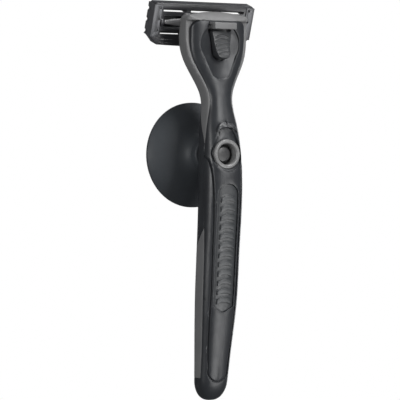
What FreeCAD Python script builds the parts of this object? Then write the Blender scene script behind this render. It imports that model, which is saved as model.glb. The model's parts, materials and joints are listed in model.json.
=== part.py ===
import FreeCAD, Part
import math
import os
import re

import Sketcher
from FreeCAD import Placement, Rotation, Vector

# Cartridge razor with a suction-cup hanger. Millimetres, +Z up the handle, +X to the right.
# The origin is the middle of the suction cup's rim: the wall is the plane Y = 0, and the
# razor hangs in front of it, its thumb side facing -Y and its blades facing +Y.

doc = FreeCAD.newDocument("CartridgeRazor")
sheet = doc.addObject("Spreadsheet::Sheet", "Sizes")

# Stations down the handle: height, middle of the section, its width and depth, how square it
# is, how far the front cover stands in from the chassis, and where the two part lines lie
# ahead of and behind the middle.
stationColumns = ("Level", "Centre", "Width", "Depth", "Squareness", "CoverStep", "FrontSplit", "RearSplit")
stations = {
    "crown": (52.0, -15.9, 25.0, 9.4, 3.6, 1.0, -1.5, 5.0),
    "paddle": (46.0, -15.35, 25.2, 9.9, 3.6, 1.0, -1.95, 5.0),
    "thumb": (40.0, -14.8, 25.2, 11.0, 3.6, 1.0, -2.4, 5.0),
    "shoulder": (33.4, -15.2, 22.8, 10.4, 3.2, 0.9, -2.6, 4.0),
    "taper": (26.3, -16.1, 15.8, 9.8, 2.8, 0.6, -2.9, 3.2),
    "neck": (19.9, -17.1, 11.0, 9.2, 2.6, 0.3, -2.9, 2.9),
    "throat": (14.0, -17.9, 11.8, 9.8, 2.6, 0.0, -2.7, 2.3),
    "collar": (8.0, -18.8, 13.6, 11.0, 2.6, 0.0, -2.1, 1.0),
    "ring": (0.0, -19.5, 14.8, 12.2, 2.6, 0.0, -1.3, 0.0),
    "palm": (-16.3, -19.7, 15.4, 12.4, 2.6, 0.0, -1.4, 0.0),
    "grip": (-34.0, -18.3, 15.1, 12.0, 2.6, 0.0, -2.4, 3.4),
    "heel": (-51.7, -16.8, 14.8, 11.7, 2.6, 0.0, -2.6, 3.6),
    "lower": (-69.5, -14.6, 12.8, 10.4, 2.6, 0.0, -2.4, 3.4),
    "tail": (-79.0, -13.5, 11.8, 9.5, 2.6, 0.0, -2.0, 2.9),
}

sizes = {
    # rounded end below the tail station
    "tailLength": 8.0, "tailLean": 1.0, "tailFullness": 0.8, "coverJoint": -13.2,
    # shells over the chassis spine
    "sideSkin": 1.3, "faceSkin": 2.0, "spineTop": 20.0, "spineBottom": -77.0,
    "bandTip": 3.7, "bandStart": -26.0, "bandWiden": -32.0, "bandTopHeight": 34.0, "bandRunIn": 30.0,
    # top of the paddle
    "archHeight": 50.4, "archShoulder": 49.3, "archHalf": 9.6, "archCornerDrop": 3.8, "archSide": 13.0,
    "bevelLow": 47.5, "bevelLowFace": -19.7, "bevelHigh": 51.0, "bevelHighFace": -16.2,
    "coverTop": 47.0, "coverHalf": 11.1, "coverCorner": 3.4,
    # recess and opening round the eject button
    "shieldFloor": -19.4, "shieldTop": 44.5, "shieldTopHalf": 5.2, "shieldWide": 39.3,
    "shieldHalf": 7.9, "shieldLow": 34.6, "shieldLowHalf": 6.5, "shieldToe": 27.8,
    "shieldToeHalf": 3.4, "shieldEnd": 26.4, "shieldToeFloor": -20.3, "shieldRamp": -20.7,
    "floorPlane": -17.2,
    # eject button, its hood and the fork behind it
    "buttonTop": 43.3, "buttonBottom": 33.4, "buttonTopHalf": 3.9, "buttonLowHalf": 2.6, "buttonGap": 0.35,
    "buttonRear": -17.45, "buttonFace": -20.9, "buttonLip": -22.9, "ribPitch": 1.45, "ribWidth": 0.55,
    "ribHeight": 0.3, "ribRadius": 5.0, "ribCount": 5, "ribFirst": 36.3,
    "hoodHalf": 4.5, "hoodTop": 46.3, "hoodBottom": 43.9, "hoodFront": -23.8, "hoodUnder": -21.6,
    "hoodLeg": 45.6, "forkHalf": 4.6, "forkFront": -13.35, "forkRear": -11.95, "forkBottom": 34.6,
    "forkBar": 2.0, "prongHalf": 2.6, "prongTop": 43.5, "stemHalf": 1.1, "slotGap": 0.15, "ejectTravel": 2.2,
    # button spring and plunger
    "springAxis": -15.4, "springRadius": 0.85, "springWire": 0.3, "springTop": 42.35, "springTurns": 7,
    "plungerHeight": 41.3, "plungerRadius": 1.2, "plungerRear": -10.6, "plungerTip": -5.64,
    "plungerHollow": 0.8, "plungerFloor": -8.2, "plungerFit": 0.05, "plungerSeat": -13.1,
    "coilRadius": 0.6, "coilWire": 0.2, "coilTurns": 8,
    # dock and connector
    "dockFace": -10.4, "dockBottom": 43.0, "dockHalf": 9.6, "tongueBottom": 43.65, "tongueTop": 49.8,
    "webHalf": 3.0, "blockHalf": 8.6, "blockRear": -10.3, "blockFace": -8.8, "blockTop": 49.9,
    "armEnd": 15.9, "armHalfHeight": 1.6, "hubRadius": 1.0, "armFace": 0.3, "armBack": -1.3,
    "pinRadius": 0.75, "pinEnd": 17.1,
    # cartridge: its middle, its tilt and its own sizes
    "cartridgeY": -5.3, "cartridgeZ": 46.7, "cartridgeTilt": 19.0, "pivotUp": 0.6, "pivotIn": -1.3,
    "frameHalf": 20.2, "frameHalfHeight": 7.6, "frameBack": -2.0, "frameFront": 2.1, "frameChamfer": 2.8,
    "openingHalf": 16.05, "openingLow": -1.9, "openingHigh": 3.3, "pocketHalf": 18.2, "pocketLow": -3.9,
    "pocketHigh": 3.9, "pocketFloor": -0.2, "slotHalf": 16.6, "slotHeight": 0.85, "upperSlot": 5.1,
    "lowerSlot": -3.1, "slotRib": 6.1, "slotRibWidth": 1.5, "lugRadius": 1.5, "lugEnd": 17.2,
    "capRecess": 0.45, "capRecessLow": 4.1, "capRecessHigh": 6.9,
    "pinFit": 0.05, "notchRadius": 0.8, "notchTop": 4.6, "notchPitch": 4.1, "ridgeRadius": 0.3,
    "ridgeFirst": -4.4, "ridgePitch": 1.35, "ridgeStart": 3.6, "ridgeEnd": 16.6,
    # blades
    "bladeCount": 3, "bladeFirst": -3.4, "bladePitch": 2.3, "bladeHalf": 18.1, "bladeThickness": 0.16,
    "bladeWidth": 1.5, "bladeAngle": 22.0, "bladeTip": 2.3, "supportThickness": 0.3,
    "supportFoot": -0.1, "supportDrop": 0.35,
    # strip, fins and clips
    "stripLow": 4.35, "stripHigh": 7.0, "stripHalf": 17.2, "stripFloor": 1.2, "stripFace": 2.35,
    "finLow": -7.2, "finHigh": -4.95, "finHalf": 17.4, "finFloor": 1.2, "finBase": 1.75, "finTip": 2.4,
    "finCount": 4, "finWidth": 0.3, "clipThickness": 0.4, "clipInner": 17.4, "clipLip": 18.0,
    "clipLow": -4.7, "clipHigh": 7.0, "clipHole": 0.45, "clipHoleTop": 5.9,
    # hanging ring
    "boreRadius": 4.65, "tubeRadius": 4.6, "ringRadius": 5.25, "ringInner": 3.7, "ringFace": -24.8,
    "ringSeat": -23.7, "ringRear": -13.45, "ringBevel": 0.4, "eyeDepth": 0.8, "eyeRadius": 6.1,
    "eyeTop": 9.3, "eyeTopRadius": 3.8, "browHeight": 2.1, "browRise": 0.9,
    "browCrest": 11.5, "browFace": -23.35, "browFoot": 8.9, "browLip": -25.1,
    # long inlay with grip bars, and the groove round the front panel
    "inlayHalf": 4.1, "inlayTop": -10.5, "inlayToe": -53.5, "inlayPoint": -54.4, "inlayDepth": 1.15,
    "inlaySink": 0.6, "barSink": 0.1, "barCount": 12, "barHeight": 1.7, "barHalf": 2.9, "barGap": 1.55,
    "grooveWidth": 0.45, "grooveDepth": 0.45, "panelTop": 2.0, "panelBend": -4.0,
    "panelBendHalf": 6.6, "panelShoulder": -11.5,
    "panelHalf": 5.9, "panelMiddle": -48.0, "panelMiddleHalf": 5.3, "panelLow": -75.5,
    "panelLowHalf": 4.1, "panelEnd": -80.5,
    # suction cup and its knob
    "rimRadius": 18.75, "rimInner": 16.9, "rimLip": 0.9, "bellDepth": 9.2, "neckRadius": 5.8,
    "neckEnd": -12.5, "neckRound": 0.7, "cavityDepth": 5.9, "rootRadius": 3.85, "rootRear": -7.5,
    "rootFront": -8.75, "stemRadius": 2.35, "socketFit": 0.06, "collarRadius": 4.9, "collarRear": -12.6,
    "collarFront": -13.3, "knobRadius": 3.62, "knobStraight": -14.5, "knobEndRadius": 3.15,
    "knobTaperEnd": -21.4, "knobEnd": -22.2, "knobRound": 0.7,
}
for station, row in stations.items():
    for column, value in zip(stationColumns, row):
        sizes[station + column] = value
for row, (alias, value) in enumerate(sizes.items(), start=1):
    sheet.set("A%d" % row, alias)
    sheet.set("B%d" % row, str(value))
    sheet.setAlias("B%d" % row, alias)
doc.recompute()

farAway = 45.0      # past every surface of the razor, for tools that cut right through
sectionPoints = 32  # points round one handle section


# --- helpers ---

def size(alias):
    return getattr(sheet, alias)


def bind(thing, target, formula):
    """Bind one property to a formula written with the sheet's aliases."""
    linked = re.sub(r"[A-Za-z]\w*", lambda word: "Sizes." + word.group(0) if word.group(0) in sizes
                    else word.group(0), str(formula))
    thing.setExpression(target, linked)


def block(name, x, y, z):
    """A box between a low and a high formula on each axis."""
    box = doc.addObject("Part::Box", name)
    for (low, high), length, axis in zip((x, y, z), ("Length", "Width", "Height"), "xyz"):
        bind(box, length, "(%s) - (%s)" % (high, low))
        bind(box, "Placement.Base." + axis, low)
    return box


def rod(name, axis, radius, low, high, across):
    """A round bar along X, Y or Z; across holds its two other coordinates in X, Y, Z order."""
    bar = doc.addObject("Part::Cylinder", name)
    turns = {"X": Rotation(Vector(0, 1, 0), 90), "Y": Rotation(Vector(1, 0, 0), -90), "Z": Rotation()}
    bar.Placement = Placement(Vector(), turns[axis])
    bind(bar, "Radius", radius)
    bind(bar, "Height", "(%s) - (%s)" % (high, low))
    others = [letter for letter in "xyz" if letter != axis.lower()]
    bind(bar, "Placement.Base." + axis.lower(), low)
    for letter, formula in zip(others, across):
        bind(bar, "Placement.Base." + letter, formula)
    return bar


def fuse(name, things):
    joined = doc.addObject("Part::MultiFuse", name)
    joined.Shapes = things
    return joined


def cut(name, base, tools):
    result = doc.addObject("Part::Cut", name)
    result.Base = base
    result.Tool = tools[0] if len(tools) == 1 else fuse(name + "Tools", tools)
    return result


def feature(name, shape):
    thing = doc.addObject("Part::Feature", name)
    thing.Shape = shape
    return thing


def wireThrough(stretches):
    """A closed wire: two points make a line, three an arc, more a smooth curve."""
    edges = []
    for points in stretches:
        if len(points) == 2:
            edges.append(Part.LineSegment(points[0], points[1]).toShape())
        elif len(points) == 3:
            edges.append(Part.Arc(points[0], points[1], points[2]).toShape())
        else:
            curve = Part.BSplineCurve()
            curve.interpolate(points)
            edges.append(curve.toShape())
    if edges[-1].lastVertex().Point.distanceToPoint(edges[0].firstVertex().Point) > 1e-6:
        start, end = stretches[0][0], stretches[-1][-1]
        edges.append(Part.LineSegment(end, start).toShape())
    return Part.Wire(edges)


def chain(*stretches):
    """Continue each stretch of points from the end of the one before."""
    joined = [list(stretches[0])]
    for points in stretches[1:]:
        joined.append([joined[-1][-1]] + list(points))
    return joined


def sideProfile(stretches, low=-farAway, high=farAway):
    """A solid from an outline of (Y, Z) points, pushed along X."""
    placed = [[Vector(low, y, z) for y, z in points] for points in stretches]
    return Part.Face(wireThrough(placed)).extrude(Vector(high - low, 0, 0))


def frontProfile(stretches, low=-farAway, high=0.0):
    """A solid from an outline of (X, Z) points, pushed along Y."""
    placed = [[Vector(x, low, z) for x, z in points] for points in stretches]
    return Part.Face(wireThrough(placed)).extrude(Vector(0, high - low, 0))


def mirrored(points):
    return [(-x, z) for x, z in reversed(points)]


def turned(name, outline):
    """A body turned round the Y axis from (radius, Y) corners, each corner bound to the sheet."""
    body = doc.addObject("PartDesign::Body", name)
    plane = next(item for item in body.Origin.OriginFeatures if item.Role == "XY_Plane")
    sketch = body.newObject("Sketcher::SketchObject", name + "Outline")
    sketch.AttachmentSupport = [(plane, "")]
    sketch.MapMode = "FlatFace"
    corners = [Vector(worked(x), worked(y), 0) for x, y in outline]
    for index, corner in enumerate(corners):
        following = corners[(index + 1) % len(corners)]
        sketch.addGeometry(Part.LineSegment(corner, following), False)
    for index in range(len(corners)):
        following = (index + 1) % len(corners)
        sketch.addConstraint(Sketcher.Constraint("Coincident", index, 2, following, 1))
    for index, (x, y) in enumerate(outline):
        for kind, formula, value in (("DistanceX", x, corners[index].x), ("DistanceY", y, corners[index].y)):
            datum = sketch.addConstraint(Sketcher.Constraint(kind, index, 1, value))
            bind(sketch, "Constraints[%d]" % datum, formula)
    spin = body.newObject("PartDesign::Revolution", name + "Turn")
    spin.Profile = sketch
    spin.ReferenceAxis = (sketch, ["V_Axis"])
    spin.Angle = 360.0
    return body


def worked(formula):
    """The value of a formula, worked out in a spare cell of the sheet."""
    sheet.set("D1", "=" + str(formula))
    sheet.recompute()
    return float(sheet.get("D1"))


def rounded(name, base, radius, chooses):
    """Round the edges of a finished shape that the test picks."""
    doc.recompute()
    fillet = doc.addObject("Part::Fillet", name)
    fillet.Base = base
    fillet.Edges = [(index, radius, radius) for index, edge in enumerate(base.Shape.Edges, start=1)
                    if chooses(edge)]
    return fillet


subParts = []


def finish(node, thing):
    thing.Label = node
    subParts.append(thing)
    return thing


def tilt(thing):
    """Put a piece drawn in the cartridge's own frame in its place on the razor."""
    thing.Placement = Placement(Vector(), Rotation(Vector(1, 0, 0), 1))
    bind(thing, "Placement.Base.y", "cartridgeY")
    bind(thing, "Placement.Base.z", "cartridgeZ")
    bind(thing, "Placement.Rotation.Angle", "cartridgeTilt")
    return thing


# --- the handle's outer form ---

def section(level, centre, halfWidth, halfDepth, squareness):
    points = []
    for step in range(sectionPoints):
        angle = 2 * math.pi * step / sectionPoints
        across, along = math.cos(angle), math.sin(angle)
        x = halfWidth * math.copysign(abs(across) ** (2 / squareness), across)
        y = centre + halfDepth * math.copysign(abs(along) ** (2 / squareness), along)
        points.append(Vector(x, y, level))
    curve = Part.BSplineCurve()
    curve.interpolate(points, True)
    quarters = [curve.parameter(points[sectionPoints * quarter // 4]) for quarter in range(4)]
    ends = quarters[1:] + [curve.LastParameter]
    return Part.Wire([curve.toShape(low, high) for low, high in zip(quarters, ends)])


def handleForm(sideInset=0.0, faceInset=0.0, stepped=False):
    """The loft down every station, its rounded tail included."""
    wires = []
    for name in stations:
        step = size(name + "CoverStep") if stepped else 0.0
        wires.append(section(size(name + "Level"), size(name + "Centre"),
                             size(name + "Width") / 2 - sideInset - step,
                             size(name + "Depth") / 2 - faceInset, size(name + "Squareness")))
    halfWidth, halfDepth = size("tailWidth") / 2 - sideInset, size("tailDepth") / 2 - faceInset
    for angle in (18, 36, 52, 66, 77, 86):
        drop, shrink = math.sin(math.radians(angle)), math.cos(math.radians(angle)) ** size("tailFullness")
        wires.append(section(size("tailLevel") - (size("tailLength") - faceInset) * drop,
                             size("tailCentre") + size("tailLean") * drop,
                             halfWidth * shrink, halfDepth * shrink, size("tailSquareness")))
    return Part.makeLoft(wires, True, False)


def stationPoint(name, split=None):
    offset = size(name + split) if split else 0.0
    return (size(name + "Centre") + offset, size(name + "Level"))


frontSplitPoints = [stationPoint(name, "FrontSplit") for name in list(stations)[1:]]


def frontSlab(top):
    """Everything ahead of the front part line, below a given height."""
    startY = frontSplitPoints[0][0]
    return sideProfile(chain([(-farAway, -100.0), (-farAway, top)], [(startY, top)], [frontSplitPoints[0]],
                             frontSplitPoints[1:], [(size("coverJoint"), size("tailLevel"))],
                             [(size("coverJoint"), -100.0)]))


def splitAt(level):
    """Where the front part line lies at one height, by straight steps between stations."""
    for (upperY, upperZ), (lowerY, lowerZ) in zip(frontSplitPoints, frontSplitPoints[1:]):
        if upperZ >= level >= lowerZ:
            return lowerY + (upperY - lowerY) * (level - lowerZ) / (upperZ - lowerZ)


def upperBandZone():
    """The chassis's share of the handle from the paddle down to the pointed end of its band."""
    tip = (splitAt(size("bandTip")), size("bandTip"))
    rear = [stationPoint(name, "RearSplit") for name in ("taper", "neck", "throat")]
    runIn = (rear[0][0] + 0.7, size("bandRunIn"))
    return sideProfile(chain([(-farAway, tip[1]), (-farAway, 60.0)], [(5.0, 60.0)],
                             [(5.0, size("bandTopHeight") + 8.0)], [runIn], rear, [tip]))


def lowerBandZone():
    """The chassis's share beside the palm, down to the square end of its band."""
    start = (splitAt(size("bandStart")), size("bandStart"))
    rear = [stationPoint(name, "RearSplit") for name in ("grip", "heel", "lower", "tail")]
    widen = (rear[0][0] - 1.0, size("bandWiden"))
    return sideProfile(chain([(-farAway, size("tailLevel")), (-farAway, start[1])], [start], [widen],
                             rear, [(-farAway, size("tailLevel"))]))


def paddleArch():
    """The paddle's outline from the front: square sides, rounded corners and an arched top."""
    half, top, shoulder = size("archHalf"), size("archHeight"), size("archShoulder")
    side, corner = size("archSide"), size("archShoulder") - size("archCornerDrop")
    bend = (side - 0.9, corner + 0.76 * size("archCornerDrop"))
    return frontProfile(chain([(-side, -100.0), (-side, corner)], [(-bend[0], bend[1]), (-half, shoulder)],
                              [(0.0, top), (half, shoulder)], [bend, (side, corner)], [(side, -100.0)]))


def coverArch():
    """The front cover's outline: a straight top edge with rounded corners."""
    half, top, corner = size("coverHalf"), size("coverTop"), size("coverCorner")
    bend = corner * (1 - math.sqrt(0.5))
    return frontProfile(chain([(-half, -100.0), (-half, top - corner)],
                              [(-half + bend, top - bend), (-half + corner, top)], [(half - corner, top)],
                              [(half - bend, top - bend), (half, top - corner)], [(half, -100.0)]))


coverSlab = frontSlab(size("coverTop"))
bandZones = [upperBandZone(), lowerBandZone()]
outerForm = handleForm().common(paddleArch())
spineForm = handleForm(size("sideSkin"), size("faceSkin")).common(
    Part.makeBox(2 * farAway, 2 * farAway, size("spineTop") - size("spineBottom"),
                 Vector(-farAway, -farAway, size("spineBottom"))))


insetForms = {}


def insetForm(depth):
    """The handle's form with every face moved in by a depth, made once for each depth."""
    if depth not in insetForms:
        insetForms[depth] = handleForm(depth, depth)
    return insetForms[depth]


def faceCutter(outline, depth, reach=-18.0):
    """A tool that takes an outline out of the thumb side down to one depth under its face."""
    return frontProfile(outline, high=reach).cut(insetForm(depth))


def facePatch(outline, top, bottom):
    """A solid inside an outline, between two depths under the thumb side's face."""
    return frontProfile(outline, high=-18.0).common(insetForm(top)).cut(insetForm(bottom))


# --- chassis ---

def chassisBlank():
    upper, lower = [outerForm.common(zone).cut(coverSlab) for zone in bandZones]
    bevel = sideProfile(chain([(size("bevelLowFace") - 5.0, size("bevelLow") - 5.0),
                               (size("bevelHighFace"), size("bevelHigh"))],
                              [(-farAway, size("bevelHigh"))]))
    return upper.fuse(lower).fuse(spineForm).cut(bevel)


chassisBody = feature("ChassisBlank", chassisBlank())
hood = fuse("HoodBlank", [
    block("HoodPlate", ("-hoodHalf", "hoodHalf"), ("hoodFront", "hoodUnder"), ("hoodBottom", "hoodTop")),
    block("HoodLeg", ("-hoodHalf", "hoodHalf"), ("hoodUnder - 0.5", "floorPlane + 1"),
          ("hoodLeg", "hoodTop")),
])
hoodRound = rounded("Hood", hood, 0.6, lambda edge: edge.BoundBox.YMax < size("hoodUnder") - 0.6
                    and edge.BoundBox.ZMin > size("hoodBottom") + 0.1)
chassisSolid = fuse("ChassisWithHood", [chassisBody, hoodRound])
chassisCuts = [
    rod("ChassisBore", "Y", "boreRadius", -40, 0, (0, 0)),
    rod("ChassisSeat", "Y", "ringRadius + 0.05", -40, "ringSeat + 0.02", (0, 0)),
    block("ButtonBed", ("-buttonTopHalf - buttonGap", "buttonTopHalf + buttonGap"),
          ("floorPlane - 2", "buttonRear + 0.1"),
          ("buttonBottom - buttonGap", "buttonTop + ejectTravel + 0.1")),
    block("DockFlat", ("-dockHalf", "dockHalf"), ("dockFace", 0), ("dockBottom", 60)),
    block("TongueSlot", ("-forkHalf - slotGap", "forkHalf + slotGap"),
          ("forkFront - slotGap", "forkRear + slotGap"), ("prongTop", 60)),
    block("WebSlot", ("-webHalf - slotGap", "webHalf + slotGap"), ("forkRear - 0.5", 0), ("prongTop", 60)),
    block("BarSlot", ("-forkHalf - slotGap", "forkHalf + slotGap"),
          ("forkFront - slotGap", "forkRear + slotGap"),
          ("forkBottom - slotGap", "forkBottom + forkBar + ejectTravel + 0.4")),
    block("LeftProngSlot", ("-forkHalf - slotGap", "-prongHalf + slotGap"),
          ("forkFront - slotGap", "forkRear + slotGap"), ("forkBottom", "prongTop + 0.1")),
    block("RightProngSlot", ("prongHalf - slotGap", "forkHalf + slotGap"),
          ("forkFront - slotGap", "forkRear + slotGap"), ("forkBottom", "prongTop + 0.1")),
    block("StemSlot", ("-stemHalf - slotGap", "stemHalf + slotGap"), ("floorPlane - 2", "forkFront"),
          ("forkBottom - slotGap", "forkBottom + forkBar + ejectTravel + 0.4")),
    rod("SpringBore", "Z", "springRadius + springWire", "forkBottom + 1", "springTop + 0.05",
        (0, "springAxis")),
    rod("PlungerBore", "Y", "plungerRadius + plungerFit", "plungerSeat", 0, (0, "plungerHeight")),
]
chassis = finish("chassis", cut("Chassis", chassisSolid, chassisCuts))


# --- covers ---

def buttonOutline(gap):
    """The button seen from the front: a tapered tongue with a round lower end."""
    top, low = size("buttonTop") + gap, size("buttonBottom")
    topHalf, lowHalf = size("buttonTopHalf") + gap, size("buttonLowHalf") + gap
    bend = low + 1.6
    return chain([(-topHalf, top), (topHalf, top)], [(lowHalf, bend)], [(0.0, low - gap), (-lowHalf, bend)])


def shieldOutline():
    left = [(-size("shieldTopHalf"), size("shieldTop")), (-size("shieldHalf"), size("shieldWide")),
            (-size("shieldLowHalf"), size("shieldLow"))]
    toe = (size("shieldToeHalf"), size("shieldToe"))
    right = mirrored(left)
    return chain(left, [(-toe[0], toe[1])], [(0.0, size("shieldEnd")), toe], [right[0]], right[1:])


def eyeOutline():
    """Teardrop round the hanging ring: a round bottom, straight sides and a smaller round top."""
    radius, topRadius = size("eyeRadius"), size("eyeTopRadius")
    topCentre = size("eyeTop") - topRadius
    lean = math.asin((radius - topRadius) / topCentre)
    low = (radius * math.cos(lean), radius * math.sin(lean))
    high = (topRadius * math.cos(lean), topCentre + topRadius * math.sin(lean))
    return chain([(-low[0], low[1]), (0.0, -radius), low], [high],
                 [(0.0, size("eyeTop")), (-high[0], high[1])])


def browOutline():
    """Crescent standing over the teardrop."""
    half, base = size("eyeTopRadius") + 0.5, size("eyeTop") - 1.6
    return chain([(-half, base), (0.0, size("eyeTop") + 0.15), (half, base)],
                 [(0.0, size("eyeTop") + size("browHeight")), (-half, base)])


def inlayOutline(inset):
    half, top = size("inlayHalf") - inset, size("inlayTop") - inset
    corner = top - half * 0.75
    return chain([(-half, corner), (0.0, top), (half, corner)], [(half, size("inlayToe") + inset)],
                 [(0.0, size("inlayPoint") - 1.3 + inset)], [(-half, size("inlayToe") + inset)])


def panelOutline(inset):
    """The front panel: it starts at the part line, narrows at the shoulder and ends round."""
    right = [(size("ringWidth") / 2 + 1.0 - inset, size("panelTop")),
             (size("panelBendHalf") - inset, size("panelBend")),
             (size("panelHalf") - inset, size("panelShoulder")),
             (size("panelMiddleHalf") - inset, size("panelMiddle")),
             (size("panelLowHalf") - inset, size("panelLow"))]
    end = (0.0, size("panelEnd") + inset)
    left = mirrored(right)
    return chain([left[-1], right[0]], right[1:], [end, left[0]], left[1:])


def frontCoverBlank():
    stepped = handleForm(stepped=True).common(coverArch())
    blank = stepped.common(coverSlab).cut(spineForm)
    shelf = sideProfile(chain([(0.0, 20.0), (size("browFace"), size("browCrest"))],
                              [(size("browLip"), size("browFoot"))], [(size("browLip"), 0.0)], [(0.0, 0.0)]))
    brow = facePatch(browOutline(), -size("browRise"), size("eyeDepth")).common(shelf)
    groove = faceCutter(panelOutline(0.0), size("grooveDepth"), -15.0).cut(
        frontProfile(panelOutline(size("grooveWidth"))))
    toeRamp = sideProfile(chain([(0.0, size("shieldLow")), (size("shieldFloor"), size("shieldLow"))],
                                [(size("shieldToeFloor"), size("shieldToe") + 0.7)],
                                [(size("shieldRamp"), size("shieldEnd") - 0.3)],
                                [(size("shieldRamp"), 0.0)], [(0.0, 0.0)]))
    tools = [groove, faceCutter(eyeOutline(), size("eyeDepth")),
             faceCutter(inlayOutline(0.0), size("inlayDepth")),
             frontProfile(shieldOutline(), high=size("shieldFloor")).cut(toeRamp)]
    for tool in tools:
        blank = blank.cut(tool)
    return blank.fuse(brow)


frontCover = finish("front_cover", cut("FrontCover", feature("FrontCoverBlank", frontCoverBlank()), [
    feature("ButtonOpening", frontProfile(buttonOutline(size("buttonGap")), high=-15.0)),
    block("HoodOpening", ("-hoodHalf - 0.1", "hoodHalf + 0.1"), (-40, "floorPlane + 1"),
          ("buttonTop - 0.5", "hoodTop + 0.1")),
    rod("FrontBore", "Y", "boreRadius", -40, 0, (0, 0)),
    rod("FlangeSeat", "Y", "ringRadius + 0.05", -40, "ringSeat + 0.02", (0, 0)),
]))


def backCoverBlank():
    blank = outerForm
    for tool in [coverSlab] + bandZones + [spineForm]:
        blank = blank.cut(tool)
    return blank


backCover = finish("back_cover", cut("BackCover", feature("BackCoverBlank", backCoverBlank()), [
    rod("BackBore", "Y", "boreRadius", -40, 0, (0, 0)),
]))


# --- long grip inlay ---

def inlayShape():
    base = facePatch(inlayOutline(0.05), size("inlaySink"), size("inlayDepth"))
    bars = []
    for index in range(int(size("barCount"))):
        top = size("inlayTop") - 4.2 - index * (size("barHeight") + size("barGap"))
        half, low = size("barHalf"), top - size("barHeight")
        outline = chain([(-half, top - 0.7), (0.0, top + 0.1), (half, top - 0.7)], [(half, low - 0.7)],
                        [(0.0, low + 0.1), (-half, low - 0.7)])
        bars.append(facePatch(outline, size("barSink"), size("inlayDepth")))
    return base.fuse(bars)


gripInlay = finish("grip_inlay", feature("GripInlay", inlayShape()))

# --- hanging ring, knob and suction cup ---

ringGrommet = finish("ring_grommet", turned("RingGrommet", [
    ("ringInner + ringBevel", "ringFace"), ("ringRadius - 0.35", "ringFace"),
    ("ringRadius", "ringFace + 0.35"),
    ("ringRadius", "ringSeat"), ("tubeRadius", "ringSeat"), ("tubeRadius", "ringRear"),
    ("ringInner", "ringRear"), ("ringInner", "ringFace + ringBevel"),
]))
hangerKnob = finish("hanger_knob", turned("HangerKnob", [
    (0, "rootRear"), ("rootRadius", "rootRear"), ("rootRadius", "rootFront"), ("stemRadius", "rootFront"),
    ("stemRadius", "collarRear"), ("collarRadius", "collarRear"), ("collarRadius", "collarFront"),
    ("knobRadius", "collarFront"), ("knobRadius", "knobStraight"), ("knobEndRadius", "knobTaperEnd"),
    ("knobEndRadius - knobRound", "knobEnd"), (0, "knobEnd"),
]))


def cupShape():
    """The bell, its neck and the socket for the knob's root, turned round the Y axis."""
    rim, lip, bell = size("rimRadius"), -size("rimLip"), -size("bellDepth")
    neck, neckEnd, neckRound = size("neckRadius"), size("neckEnd"), size("neckRound")
    fit, bore, root = size("socketFit"), size("stemRadius") + size("socketFit"), size("rootRadius")
    cavity = -size("cavityDepth")
    outline = chain([(size("rimInner"), 0.0), (rim, 0.0)], [(rim, lip)],
                    [(rim - 2.6, lip - 2.3), (11.6, -5.5), (7.6, -7.2), (neck, bell)],
                    [(neck, neckEnd + neckRound)],
                    [(neck - 0.3 * neckRound, neckEnd + 0.3 * neckRound), (neck - neckRound, neckEnd)],
                    [(bore, neckEnd)], [(bore, size("rootFront") - fit)],
                    [(root + fit, size("rootFront") - fit)],
                    [(root + fit, size("rootRear") + fit)], [(0.0, size("rootRear") + fit)], [(0.0, cavity)],
                    [(6.0, cavity + 0.25), (12.0, cavity + 2.3), (size("rimInner"), 0.0)])
    placed = [[Vector(radius, y, 0) for radius, y in points] for points in outline]
    return Part.Face(wireThrough(placed)).revolve(Vector(), Vector(0, 1, 0), 360)


suctionCup = finish("suction_cup", feature("SuctionCup", cupShape()))


# --- eject button, fork, plunger and springs ---

def buttonShape():
    top, low, rear = size("buttonTop"), size("buttonBottom"), size("buttonRear")
    face, lip = size("buttonFace"), size("buttonLip")

    def wedge(rise):
        return sideProfile(chain([(rear, top), (face, top)], [(face - 0.25 - rise, top - 2.9)],
                                 [(face - 0.55 - rise, low + 4.6), (lip, low + 0.8)],
                                 [(lip + 0.2, low + 0.25), (lip + 0.8, low)], [(rear, low)]))

    outline = frontProfile(buttonOutline(0.0))
    ribs = []
    for index in range(int(size("ribCount"))):
        peak = size("ribFirst") + index * size("ribPitch")
        centre = Vector(0, -farAway, peak - size("ribRadius"))
        outer = Part.makeCylinder(size("ribRadius"), farAway, centre, Vector(0, 1, 0))
        inner = Part.makeCylinder(size("ribRadius") - size("ribWidth"), farAway, centre, Vector(0, 1, 0))
        span = Part.makeBox(5.6, farAway, 1.4, Vector(-2.8, -farAway, peak - 1.3))
        ribs.append(outer.cut(inner).common(span))
    raised = wedge(size("ribHeight")).common(outline)
    return wedge(0.0).common(outline).fuse([rib.common(raised) for rib in ribs]).removeSplitter()


ejectButton = finish("eject_button", feature("EjectButton", buttonShape()))
ejectorFork = finish("ejector_fork", fuse("EjectorFork", [
    block("ForkBar", ("-forkHalf", "forkHalf"), ("forkFront", "forkRear"),
          ("forkBottom", "forkBottom + forkBar")),
    block("ForkStem", ("-stemHalf", "stemHalf"), ("buttonRear", "forkFront + 0.2"),
          ("forkBottom", "forkBottom + forkBar")),
    block("LeftProng", ("-forkHalf", "-prongHalf"), ("forkFront", "forkRear"), ("forkBottom", "prongTop")),
    block("RightProng", ("prongHalf", "forkHalf"), ("forkFront", "forkRear"), ("forkBottom", "prongTop")),
]))


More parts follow.
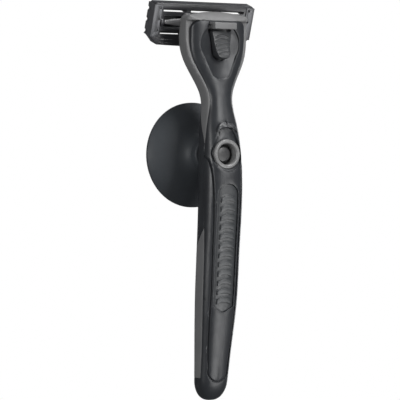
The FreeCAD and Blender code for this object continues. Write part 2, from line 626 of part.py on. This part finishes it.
def coil(name, radius, wire, low, high, turns, place, turn):
    """A round-wire spring swept along a helix."""
    helix = doc.addObject("Part::Helix", name + "Helix")
    bind(helix, "Radius", radius)
    bind(helix, "Height", "(%s) - (%s) - 2 * %s" % (high, low, wire))
    bind(helix, "Pitch", "((%s) - (%s) - 2 * %s) / %s" % (high, low, wire, turns))
    circle = doc.addObject("Part::Circle", name + "Wire")
    bind(circle, "Radius", "%s / 2" % wire)
    bind(circle, "Placement.Base.x", radius)
    circle.Placement.Rotation = Rotation(Vector(1, 0, 0), 90)
    spring = doc.addObject("Part::Sweep", name)
    spring.Sections = [circle]
    spring.Spine = (helix, ["Edge1"])
    spring.Solid = True
    spring.Frenet = True
    spring.Placement = Placement(Vector(), turn)
    for axis, formula in zip("xyz", place):
        bind(spring, "Placement.Base." + axis, formula)
    return spring


buttonSpring = finish("button_spring", coil(
    "ButtonSpring", "springRadius", "springWire", "forkBottom + forkBar", "springTop", "springTurns",
    (0, "springAxis", "forkBottom + forkBar + springWire"), Rotation()))
plungerSpring = finish("plunger_spring", coil(
    "PlungerSpring", "coilRadius", "coilWire", "plungerSeat", "plungerFloor", "coilTurns",
    (0, "plungerSeat + coilWire", "plungerHeight"), Rotation(Vector(1, 0, 0), -90)))
plungerRod = rod("PlungerRod", "Y", "plungerRadius", "plungerRear", "plungerTip - 1", (0, "plungerHeight"))
plungerDome = doc.addObject("Part::Sphere", "PlungerDome")
bind(plungerDome, "Radius", "plungerRadius - 0.2")
bind(plungerDome, "Placement.Base.y", "plungerTip - plungerRadius + 0.2")
bind(plungerDome, "Placement.Base.z", "plungerHeight")
plunger = finish("plunger", cut("Plunger", fuse("PlungerBlank", [plungerRod, plungerDome]), [
    rod("PlungerHollow", "Y", "plungerHollow", "plungerRear - 1", "plungerFloor", (0, "plungerHeight")),
]))

# --- connector yoke ---

pivotY = "cartridgeY - pivotUp * sin(cartridgeTilt * 1deg) + pivotIn * cos(cartridgeTilt * 1deg)"
pivotZ = "cartridgeZ + pivotUp * cos(cartridgeTilt * 1deg) + pivotIn * sin(cartridgeTilt * 1deg)"
pivot = Vector(0, worked(pivotY), worked(pivotZ))


def armShape():
    """Both arms in one bar: deep at the middle, tapering to a round hub at each end."""
    half, end, hub = size("armHalfHeight"), size("armEnd"), size("hubRadius")
    root = size("blockHalf") - 0.6
    right = [(root, half), (end - hub, 0.75 * hub)]
    low = [(end - hub, -0.75 * hub), (root, -half)]
    outline = chain([(-end + hub, 0.75 * hub), (-root, half)], [right[0]], [right[1]],
                    [(end, 0.0), low[0]], [low[1]], [(-root, -half)], [(-end + hub, -0.75 * hub)],
                    [(-end, 0.0), (-end + hub, 0.75 * hub)])
    shape = frontProfile(outline, size("armBack"), size("armFace"))
    shape.translate(pivot)
    return shape


connectorBlank = fuse("ConnectorBlank", [
    block("Tongue", ("-forkHalf", "forkHalf"), ("forkFront", "forkRear"), ("tongueBottom", "tongueTop")),
    block("Web", ("-webHalf", "webHalf"), ("forkRear - 0.1", "blockRear + 0.1"),
          ("tongueBottom", "tongueTop")),
    block("ConnectorBlock", ("-blockHalf", "blockHalf"), ("blockRear", "blockFace"),
          ("tongueBottom", "blockTop")),
    block("YokeNeck", ("-blockHalf + 0.6", "blockHalf - 0.6"), ("blockFace - 0.1", pivotY + " + armFace"),
          (pivotZ + " - armHalfHeight", pivotZ + " + armHalfHeight")),
    feature("YokeArms", armShape()),
    rod("PivotPins", "X", "pinRadius", "-pinEnd", "pinEnd", (pivotY, pivotZ)),
])
connector = finish("connector_yoke", connectorBlank)

# --- cartridge, drawn in its own frame: X across, Y out of the blade face, Z from guard to cap ---


def frameBlank():
    half, height, chamfer = size("frameHalf"), size("frameHalfHeight"), size("frameChamfer")
    right = [(half - 0.5, height), (half, height - 0.5), (half, chamfer - height), (half - chamfer, -height)]
    left = mirrored(right)
    outline = chain([left[-1], right[0]], [right[1]], [right[2]], [right[3]],
                    [(0.0, -height - 0.35), left[0]], [left[1]], [left[2]], [left[3]])
    return frontProfile(outline, size("frameBack"), size("frameFront"))


def sightSlot(height, low, high):
    """A rinsing slot cut level with the ground, so that it is clear right through the tilted frame."""
    fall = math.tan(math.radians(size("cartridgeTilt")))
    half = size("slotHeight") / 2
    near, far = size("frameBack") - 1.0, size("frameFront") + 1.0
    nearMiddle, farMiddle = height + fall, height - fall * (size("frameFront") - size("frameBack") + 1.0)
    return sideProfile(chain([(near, nearMiddle - half), (near, nearMiddle + half)],
                             [(far, farMiddle + half)], [(far, farMiddle - half)]), low, high)


def frameTools():
    """The rinsing slots and the recess in the cap's back, all split by the same two ribs."""
    reach, rib, width = size("slotHalf"), size("slotRib"), size("slotRibWidth") / 2
    spans = ((-reach, -rib - width), (-rib + width, rib - width), (rib + width, reach))
    tools = [sightSlot(size("upperSlot"), low, high) for low, high in spans]
    tools += [sightSlot(size("lowerSlot"), low, high) for low, high in spans]
    back, depth = size("frameBack"), size("capRecess")
    tools += [Part.makeBox(high - low, 1.0 + depth, size("capRecessHigh") - size("capRecessLow"),
                           Vector(low, back - 1.0, size("capRecessLow"))) for low, high in spans]
    return Part.makeCompound(tools)


def endNotches():
    """Three round notches in each front corner, through the frame's ends and their clips."""
    notches = []
    for side in (-1, 1):
        for index in range(3):
            level = size("notchTop") - index * size("notchPitch")
            place = Vector(side * (size("frameHalf") + 0.75), 0.2, level)
            notches.append(Part.makeCylinder(size("notchRadius"), 4.0, place, Vector(0, 1, 0)))
    return Part.makeCompound(notches)


def guardRidges():
    """Three half-round ridges on the back of the guard, left clear behind the plunger."""
    ridges = []
    for index in range(3):
        level = size("ridgeFirst") - index * size("ridgePitch")
        for side in (-1, 1):
            start = Vector(side * size("ridgeStart"), size("frameBack"), level)
            length = size("ridgeEnd") - size("ridgeStart") - 0.4 * index
            ridges.append(Part.makeCylinder(size("ridgeRadius"), length, start, Vector(side, 0, 0)))
    return ridges


notchTool = feature("EndNotches", endNotches())
lugs = rod("Lugs", "X", "lugRadius", "-lugEnd", "lugEnd", ("pivotIn", "pivotUp"))
ridges = [feature("Ridge%d" % number, ridge) for number, ridge in enumerate(guardRidges(), start=1)]
frameSolid = fuse("FrameSolid", [feature("FrameBlank", frameBlank()), lugs] + ridges)
cartridgeFrame = finish("cartridge_frame", tilt(cut("CartridgeFrame", frameSolid, [
    block("FrameOpening", ("-openingHalf", "openingHalf"), (-5, 5), ("openingLow", "openingHigh")),
    block("LugTrim", ("-openingHalf", "openingHalf"), (-5, "frameBack"), (-5, 5)),
    block("BladePocket", ("-pocketHalf", "pocketHalf"), ("pocketFloor", 5), ("pocketLow", "pocketHigh")),
    feature("SightSlots", frameTools()),
    notchTool,
    rod("PinBore", "X", "pinRadius + pinFit", "-pinEnd - 0.15", "pinEnd + 0.15", ("pivotIn", "pivotUp")),
    block("StripSeat", ("-stripHalf - 0.05", "stripHalf + 0.05"), ("stripFloor - 0.05", 5),
          ("stripLow - 0.05", "stripHigh + 0.05")),
    block("FinSeat", ("-finHalf - 0.05", "finHalf + 0.05"), ("finFloor - 0.05", 5),
          ("finLow - 0.05", "finHigh + 0.05")),
])))


def bladeShape(edge):
    """A thin strip ground to an edge, leaning back from the guard."""
    angle, width, thick = math.radians(size("bladeAngle")), size("bladeWidth"), size("bladeThickness")
    out, up = size("bladeTip"), edge
    back = (out - width * math.sin(angle), up + width * math.cos(angle))
    lift = (thick * math.cos(angle), thick * math.sin(angle))
    grind = (out - 0.4 * math.sin(angle), up + 0.4 * math.cos(angle))
    return sideProfile(chain([(out, up), (grind[0] + lift[0], grind[1] + lift[1])],
                             [(back[0] + lift[0], back[1] + lift[1])], [back]),
                       -size("bladeHalf"), size("bladeHalf"))


def supportShape(edge):
    """The bent strip under a blade: a foot in the frame, turned down, and a leaning seat for the blade."""
    angle, thick = math.radians(size("bladeAngle")), size("supportThickness")
    out, up = size("bladeTip") - 0.02, edge
    seatLow = (out - 0.45 * math.sin(angle), up + 0.45 * math.cos(angle))
    seatHigh = (out - 1.5 * math.sin(angle), up + 1.5 * math.cos(angle))
    under = (-thick * math.cos(angle), -thick * math.sin(angle))
    foot, footTop, footLow = size("supportFoot"), seatHigh[1], edge - size("supportDrop")
    return sideProfile(chain([seatLow, seatHigh], [(foot, footTop)], [(foot, footLow)],
                             [(foot + thick, footLow)], [(foot + thick, footTop - thick)],
                             [(seatHigh[0] + under[0] - 0.1, footTop - thick)],
                             [(seatLow[0] + under[0], seatLow[1] + under[1])]),
                       -size("bladeHalf"), size("bladeHalf"))


for number in range(1, int(size("bladeCount")) + 1):
    edgeHeight = size("bladeFirst") + (number - 1) * size("bladePitch")
    finish("blade_%d" % number, tilt(feature("Blade%d" % number, bladeShape(edgeHeight))))
    finish("blade_support_%d" % number, tilt(feature("BladeSupport%d" % number, supportShape(edgeHeight))))

stripBlank = block("StripBlank", ("-stripHalf", "stripHalf"), ("stripFloor", "stripFace"),
                   ("stripLow", "stripHigh"))
finish("lubricating_strip", tilt(rounded("LubricatingStrip", stripBlank, 0.45, lambda edge:
                                         edge.BoundBox.YMin > size("stripFace") - 0.01)))

finBars = [block("FinBase", ("-finHalf", "finHalf"), ("finFloor", "finBase"), ("finLow", "finHigh"))]
for number in range(int(size("finCount"))):
    finStart = "finLow + 0.15 + %d * (finHigh - finLow - 0.3 - finWidth) / (finCount - 1)" % number
    finBars.append(block("Fin%d" % (number + 1), ("-finHalf", "finHalf"), ("finBase - 0.1", "finTip"),
                         (finStart, finStart + " + finWidth")))
finish("guard_fins", tilt(fuse("GuardFins", finBars)))


def clip(side, name):
    """A bent clip round one end of the frame, with three holes in its back."""
    outer, inner = "frameHalf + clipThickness", "frameHalf"
    spans = {"Back": ("clipInner", outer, "frameBack - clipThickness", "frameBack"),
             "Side": (inner, outer, "frameBack - clipThickness", "frameFront + clipThickness"),
             "Lip": ("clipLip", outer, "frameFront", "frameFront + clipThickness")}
    plates = []
    for part, (near, far, low, high) in spans.items():
        x = (near, far) if side > 0 else ("-(%s)" % far, "-(%s)" % near)
        plates.append(block(name + part, x, (low, high), ("clipLow", "clipHigh")))
    holes = []
    for index in range(3):
        holes.append(rod("%sHole%d" % (name, index + 1), "Y", "clipHole", -5, 0,
                         ("%d * (clipInner + 0.95)" % side, "clipHoleTop - %d * notchPitch" % index)))
    bent = fuse(name + "Bent", plates)
    return tilt(cut(name, bent, holes + [doc.copyObject(notchTool, False)]))


finish("left_clip", clip(-1, "LeftClip"))
finish("right_clip", clip(1, "RightClip"))

# --- check and export ---

doc.recompute()
for thing in doc.Objects:
    if "Invalid" in thing.State or "Error" in thing.State:
        raise RuntimeError("%s did not recompute" % thing.Name)
os.makedirs("parts", exist_ok=True)
for thing in subParts:
    if thing.Shape.isNull() or not thing.Shape.isValid():
        raise RuntimeError("%s is not a valid solid" % thing.Label)
    thing.Shape.exportStep("parts/%s.step" % thing.Label)
    print("%-20s %2d solid %9.2f mm3" % (thing.Label, len(thing.Shape.Solids), thing.Shape.Volume))
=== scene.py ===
import bpy
import json
import math
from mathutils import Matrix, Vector
from mathutils.bvhtree import BVHTree


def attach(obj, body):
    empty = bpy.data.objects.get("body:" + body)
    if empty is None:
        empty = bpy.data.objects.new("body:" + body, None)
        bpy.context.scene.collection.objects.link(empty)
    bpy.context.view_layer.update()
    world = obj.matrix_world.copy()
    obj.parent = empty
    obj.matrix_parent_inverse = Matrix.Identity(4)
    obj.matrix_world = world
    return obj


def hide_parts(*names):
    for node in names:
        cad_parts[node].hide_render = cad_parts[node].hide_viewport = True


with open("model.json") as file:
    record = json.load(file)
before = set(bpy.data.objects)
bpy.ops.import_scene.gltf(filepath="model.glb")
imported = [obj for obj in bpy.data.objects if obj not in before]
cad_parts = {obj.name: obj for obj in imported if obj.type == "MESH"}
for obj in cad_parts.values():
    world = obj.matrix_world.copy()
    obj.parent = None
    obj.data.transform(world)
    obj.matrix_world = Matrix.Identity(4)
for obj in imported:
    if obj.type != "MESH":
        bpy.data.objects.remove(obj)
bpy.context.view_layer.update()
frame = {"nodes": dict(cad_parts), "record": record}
parts = frame["nodes"]

# Camera

camera = {
    "target": (-0.00312, -0.01113, -0.0161),    # what the lens points at
    "distance": 1.0,
    "azimuth": -31.0,
    "lens": 254.0,
    "sensor": 36.0,
    "clip": (0.02, 50.0),
}


def placeCamera():
    data = bpy.data.cameras.new("razorCamera")
    data.lens = camera["lens"]
    data.sensor_width = camera["sensor"]
    data.clip_start, data.clip_end = camera["clip"]
    eye = bpy.data.objects.new("razorCamera", data)
    turn = math.radians(camera["azimuth"])
    back = Vector((math.sin(turn), -math.cos(turn), 0.0))
    eye.location = Vector(camera["target"]) + camera["distance"] * back
    eye.rotation_euler = (math.pi / 2, 0.0, turn)
    bpy.context.scene.collection.objects.link(eye)
    bpy.context.scene.camera = eye


placeCamera()
print("camera placed")

# Selecting and building materials


def clearSelection():
    if bpy.context.mode != "OBJECT":
        bpy.ops.object.mode_set(mode="OBJECT")
    bpy.ops.object.select_all(action="DESELECT")


def makeActive(piece):
    clearSelection()
    piece.select_set(True)
    bpy.context.view_layer.objects.active = piece


def startMaterial(name):
    material = bpy.data.materials.new(name)
    material.use_nodes = True
    tree = material.node_tree
    return material, tree, tree.nodes["Principled BSDF"]


def join(tree, source, target):
    tree.links.new(source, target)


def objectSpace(tree, stretch=(1.0, 1.0, 1.0)):
    coords = tree.nodes.new("ShaderNodeTexCoord")
    mapping = tree.nodes.new("ShaderNodeMapping")
    mapping.inputs["Scale"].default_value = stretch
    join(tree, coords.outputs["Object"], mapping.inputs["Vector"])
    return mapping.outputs["Vector"]


def noise(tree, space, scale, detail, rough):
    node = tree.nodes.new("ShaderNodeTexNoise")
    node.inputs["Scale"].default_value = scale
    node.inputs["Detail"].default_value = detail
    node.inputs["Roughness"].default_value = rough
    join(tree, space, node.inputs["Vector"])
    return node.outputs["Fac"]


noiseSpan = (0.3, 0.7)           # where nearly all of a noise's values lie


def ranged(tree, value, low, high):
    node = tree.nodes.new("ShaderNodeMapRange")
    node.inputs["From Min"].default_value, node.inputs["From Max"].default_value = noiseSpan
    node.inputs["To Min"].default_value = low
    node.inputs["To Max"].default_value = high
    join(tree, value, node.inputs["Value"])
    return node.outputs["Result"]


def blendColour(tree, factor, first, second):
    node = tree.nodes.new("ShaderNodeMix")
    node.data_type = "RGBA"
    # a mix node has one pair of inputs for each data type; the colours are 6 and 7
    node.inputs[6].default_value = (*first, 1.0)
    node.inputs[7].default_value = (*second, 1.0)
    join(tree, factor, node.inputs[0])
    return node.outputs[2]


def bump(tree, height, strength, depth):
    node = tree.nodes.new("ShaderNodeBump")
    node.inputs["Strength"].default_value = strength
    node.inputs["Distance"].default_value = depth
    join(tree, height, node.inputs["Height"])
    return node.outputs["Normal"]


# Studio

studio = {
    "floorLevel": -0.62,
    "floorSize": 7.0,
    "floorShade": (0.86, 0.86, 0.87),
    "floorRough": 0.9,
    "floorGlow": 0.6,
    "domeRadius": 4.0,
    "domeGlow": 1.0,
    "worldShade": (0.93, 0.96, 1.0),
    "worldStrength": 0.14,
    "key": {"place": (0.30, -0.92, 0.36), "size": (0.30, 0.5), "power": 5.4},
    "side": {"place": (-1.15, -0.50, 0.15), "size": (0.3, 0.7), "power": 7.8},
    "top": {"place": (0.32, -0.34, 0.88), "size": (0.34, 0.28), "power": 6.2},
    "fill": {"place": (0.38, -0.93, -0.40), "size": (0.5, 0.5), "power": 5.4},
    "rim": {"place": (0.80, 0.55, 0.2), "size": (0.3, 0.9), "power": 2.6},
    "aim": (0.0, -0.015, -0.016),
}


def addLamp(name):
    look = studio[name]
    data = bpy.data.lights.new(name + "Lamp", "AREA")
    data.shape = "RECTANGLE"
    data.size, data.size_y = look["size"]
    data.energy = look["power"]
    lamp = bpy.data.objects.new(name + "Lamp", data)
    lamp.location = look["place"]
    aim = Vector(studio["aim"]) - lamp.location
    lamp.rotation_euler = aim.to_track_quat("-Z", "Y").to_euler()
    bpy.context.scene.collection.objects.link(lamp)


def buildStudio():
    scene = bpy.context.scene
    scene.view_settings.view_transform = "Standard"
    world = bpy.data.worlds.new("studioWorld")
    scene.world = world
    world.use_nodes = True
    sky = world.node_tree.nodes["Background"]
    sky.inputs["Color"].default_value = (*studio["worldShade"], 1.0)
    sky.inputs["Strength"].default_value = studio["worldStrength"]
    for name in ("key", "side", "top", "fill", "rim"):
        addLamp(name)

    bpy.ops.mesh.primitive_uv_sphere_add(segments=48, ring_count=24, radius=studio["domeRadius"])
    dome = bpy.context.object
    dome.name = "studioDome"
    material, tree, shader = startMaterial("domeWhite")
    shader.inputs["Base Color"].default_value = (0.0, 0.0, 0.0, 1.0)
    shader.inputs["Specular IOR Level"].default_value = 0.0
    shader.inputs["Emission Color"].default_value = (1.0, 1.0, 1.0, 1.0)
    shader.inputs["Emission Strength"].default_value = studio["domeGlow"]
    dome.data.materials.append(material)
    for ray in ("diffuse", "glossy", "transmission", "shadow"):
        setattr(dome, "visible_" + ray, False)

    bpy.ops.mesh.primitive_plane_add(size=studio["floorSize"],
                                     location=(0.0, 0.0, studio["floorLevel"]))
    floor = bpy.context.object
    floor.name = "studioFloor"
    material, tree, shader = startMaterial("floorPaper")
    shader.inputs["Base Color"].default_value = (*studio["floorShade"], 1.0)
    shader.inputs["Roughness"].default_value = studio["floorRough"]
    shader.inputs["Emission Color"].default_value = (1.0, 1.0, 1.0, 1.0)
    shader.inputs["Emission Strength"].default_value = studio["floorGlow"]
    floor.data.materials.append(material)
    floor.visible_diffuse = False
    floor.visible_glossy = False


buildStudio()
print("studio lit")

# Finishes: each moulded look goes from dark to light in clouds, with a wear pattern in its gloss

coverLook = {
    "dark": (0.018, 0.0192, 0.022), "light": (0.024, 0.0262, 0.0295), "mottle": 160.0,
    "rough": (0.33, 0.41), "grain": 5200.0, "grainDepth": 0.00002, "grainStrength": 0.3,
}
chassisLook = {
    "dark": (0.136, 0.136, 0.137), "light": (0.156, 0.156, 0.157), "mottle": 220.0,
    "rough": (0.38, 0.48), "grain": 3800.0, "grainDepth": 0.000015, "grainStrength": 0.3,
}
ringLook = {
    "dark": (0.15, 0.15, 0.15), "light": (0.18, 0.18, 0.18), "mottle": 300.0,
    "rough": (0.22, 0.32), "grain": 5000.0, "grainDepth": 0.00001, "grainStrength": 0.2,
}
buttonLook = {
    "dark": (0.021, 0.0225, 0.0245), "light": (0.028, 0.03, 0.0325), "mottle": 400.0,
    "rough": (0.36, 0.48), "grain": 5200.0, "grainDepth": 0.00002, "grainStrength": 0.3,
}
inlayLook = {
    "dark": (0.027, 0.0295, 0.032), "light": (0.034, 0.037, 0.040), "mottle": 260.0,
    "rough": (0.34, 0.46), "grain": 5200.0, "grainDepth": 0.00002, "grainStrength": 0.3,
}
innerLook = {
    "dark": (0.016, 0.016, 0.018), "light": (0.024, 0.024, 0.026), "mottle": 300.0,
    "rough": (0.34, 0.46), "grain": 4000.0, "grainDepth": 0.00001, "grainStrength": 0.2,
}
cartridgeLook = {
    "dark": (0.030, 0.030, 0.033), "light": (0.038, 0.038, 0.042), "mottle": 400.0,
    "rough": (0.30, 0.38), "grain": 5200.0, "grainDepth": 0.000004, "grainStrength": 0.15,
}
yokeLook = {
    "dark": (0.115, 0.115, 0.117), "light": (0.135, 0.135, 0.137), "mottle": 420.0,
    "rough": (0.28, 0.38), "grain": 4600.0, "grainDepth": 0.000008, "grainStrength": 0.2,
}
cupLook = {
    "dark": (0.039, 0.043, 0.048), "light": (0.047, 0.052, 0.058), "mottle": 110.0,
    "rough": (0.48, 0.58), "grain": 4200.0, "grainDepth": 0.000012, "grainStrength": 0.25,
}
knobLook = {
    "dark": (0.029, 0.029, 0.030), "light": (0.037, 0.037, 0.038), "mottle": 380.0,
    "rough": (0.3, 0.4), "grain": 4200.0, "grainDepth": 0.00001, "grainStrength": 0.2,
}
finLook = {
    "dark": (0.014, 0.014, 0.015), "light": (0.022, 0.022, 0.023), "mottle": 500.0,
    "rough": (0.45, 0.58), "grain": 5000.0, "grainDepth": 0.00002, "grainStrength": 0.3,
}
stripLook = {
    "dark": (0.55, 0.68, 0.60), "light": (0.70, 0.78, 0.70), "mottle": 600.0,
    "rough": (0.3, 0.5), "grain": 3000.0, "grainDepth": 0.00002, "grainStrength": 0.35,
}


patterns = {                     # noise detail and roughness
    "cloud": (4.0, 0.6),
    "wear": (3.0, 0.55),
    "grain": (2.0, 0.6),
    "lines": (4.0, 0.65),
}
wearShare = 2.7                  # how much finer the wear is than the clouds


def moulded(name, look, gloss=0.5):
    material, tree, shader = startMaterial(name)
    shader.inputs["Specular IOR Level"].default_value = gloss
    space = objectSpace(tree)
    cloud = noise(tree, space, look["mottle"], *patterns["cloud"])
    shade = blendColour(tree, ranged(tree, cloud, 0.0, 1.0), look["dark"], look["light"])
    join(tree, shade, shader.inputs["Base Color"])
    wear = noise(tree, space, look["mottle"] * wearShare, *patterns["wear"])
    join(tree, ranged(tree, wear, *look["rough"]), shader.inputs["Roughness"])
    grain = noise(tree, space, look["grain"], *patterns["grain"])
    relief = bump(tree, grain, look["grainStrength"], look["grainDepth"])
    join(tree, relief, shader.inputs["Normal"])
    return material


metalLines = {"scale": 900.0, "lift": 1.25, "strength": 0.2, "depth": 0.00001}

clipLook = {
    "shade": (0.090, 0.091, 0.096), "rough": (0.38, 0.5), "stretch": (0.3, 1.0, 1.0), "metallic": 0.5,
}
bladeLook = {
    "shade": (0.46, 0.47, 0.49), "rough": (0.26, 0.4), "stretch": (0.02, 1.0, 1.0), "metallic": 1.0,
}
# the blade supports get a steel far darker than the blades; the darkening is painted shade for their
# place deep inside the cartridge
supportPaintedShadeLook = {
    "shade": (0.10, 0.10, 0.105), "rough": (0.35, 0.5), "stretch": (0.05, 1.0, 1.0), "metallic": 1.0,
}
springLook = {
    "shade": (0.5, 0.5, 0.52), "rough": (0.2, 0.35), "stretch": (1.0, 1.0, 1.0), "metallic": 1.0,
}


def metal(name, look):
    material, tree, shader = startMaterial(name)
    shader.inputs["Metallic"].default_value = look["metallic"]
    space = objectSpace(tree, look["stretch"])
    lines = noise(tree, space, metalLines["scale"], *patterns["lines"])
    bright = tuple(min(1.0, value * metalLines["lift"]) for value in look["shade"])
    shade = blendColour(tree, ranged(tree, lines, 0.0, 1.0), look["shade"], bright)
    join(tree, shade, shader.inputs["Base Color"])
    join(tree, ranged(tree, lines, *look["rough"]), shader.inputs["Roughness"])
    relief = bump(tree, lines, metalLines["strength"], metalLines["depth"])
    join(tree, relief, shader.inputs["Normal"])
    return material


finishes = {
    "cover_rubber": moulded("coverRubber", coverLook, 0.4),
    "chassis_grey": moulded("chassisPlastic", chassisLook, 0.3),
    "ring_grey": moulded("ringPlastic", ringLook),
    "button_rubber": moulded("buttonRubber", buttonLook),
    "inlay_rubber": moulded("inlayRubber", inlayLook),
    "inner_plastic": moulded("innerPlastic", innerLook),
    "cartridge_plastic": moulded("cartridgePlastic", cartridgeLook),
    "clip_metal": metal("clipMetal", clipLook),
    "blade_steel": metal("bladeSteel", bladeLook),
    "support_steel": metal("supportSteelPaintedShade", supportPaintedShadeLook),
    "strip_polymer": moulded("stripPolymer", stripLook),
    "fin_rubber": moulded("finRubber", finLook),
    "spring_steel": metal("springSteel", springLook),
    "cup_rubber": moulded("cupRubber", cupLook, 0.3),
    "yoke_grey": moulded("yokePlastic", yokeLook),
    "knob_plastic": moulded("knobPlastic", knobLook),
}

slotOf = {entry["node"]: entry["material_slot"] for entry in frame["record"]["subparts"]}
bodyOf = {}
for body, members in frame["record"]["behaviour"]["bodies"].items():
    for member in members:
        bodyOf[member] = body

for node, part in parts.items():
    for place in part.material_slots:
        place.material = finishes[slotOf[node]]
print("finishes made")

# Moulded edges: a merged copy stands for each node whose edges show, with its edges rounded

easedEdges = {                 # node: (radius, segments, least angle)
    "chassis": (0.00030, 3, 40.0),
    "front_cover": (0.00022, 2, 40.0),
    "back_cover": (0.00025, 2, 40.0),
    "grip_inlay": (0.00009, 2, 40.0),
    "ring_grommet": (0.00022, 3, 30.0),
    "hanger_knob": (0.0002, 2, 40.0),
    "eject_button": (0.00012, 2, 30.0),
    "cartridge_frame": (0.00016, 2, 40.0),
    "left_clip": (0.00009, 2, 40.0),
    "right_clip": (0.00009, 2, 40.0),
    "connector_yoke": (0.0002, 2, 40.0),
}
mergeReach = 0.000002
smoothAngle = 30.0
strayShare = 0.45              # of the radius


def holdToSource(piece, source, reach):
    # a rounded vertex further than this from the part's own surface goes back to it
    surface = BVHTree.FromPolygons([vertex.co for vertex in source.data.vertices],
                                   [tuple(face.vertices) for face in source.data.polygons])
    for vertex in piece.data.vertices:
        nearest, _, _, distance = surface.find_nearest(vertex.co)
        if distance > reach:
            vertex.co = nearest


def easeEdges(node):
    radius, segments, least = easedEdges[node]
    source = parts[node]
    piece = bpy.data.objects.new(node + "_eased", source.data.copy())
    bpy.context.scene.collection.objects.link(piece)
    makeActive(piece)
    bpy.ops.object.mode_set(mode="EDIT")
    bpy.ops.mesh.select_all(action="SELECT")
    bpy.ops.mesh.remove_doubles(threshold=mergeReach)
    bpy.ops.object.mode_set(mode="OBJECT")
    bevel = piece.modifiers.new("easedEdge", "BEVEL")
    bevel.width = radius
    bevel.segments = segments
    bevel.limit_method = "ANGLE"
    bevel.angle_limit = math.radians(least)
    bevel.use_clamp_overlap = False
    bevel.loop_slide = False
    bpy.ops.object.modifier_apply(modifier=bevel.name)
    holdToSource(piece, source, radius * strayShare)
    bpy.ops.object.shade_smooth_by_angle(angle=math.radians(smoothAngle))
    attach(piece, bodyOf[node])
    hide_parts(node)


for node in easedEdges:
    easeEdges(node)
print("edges rounded")
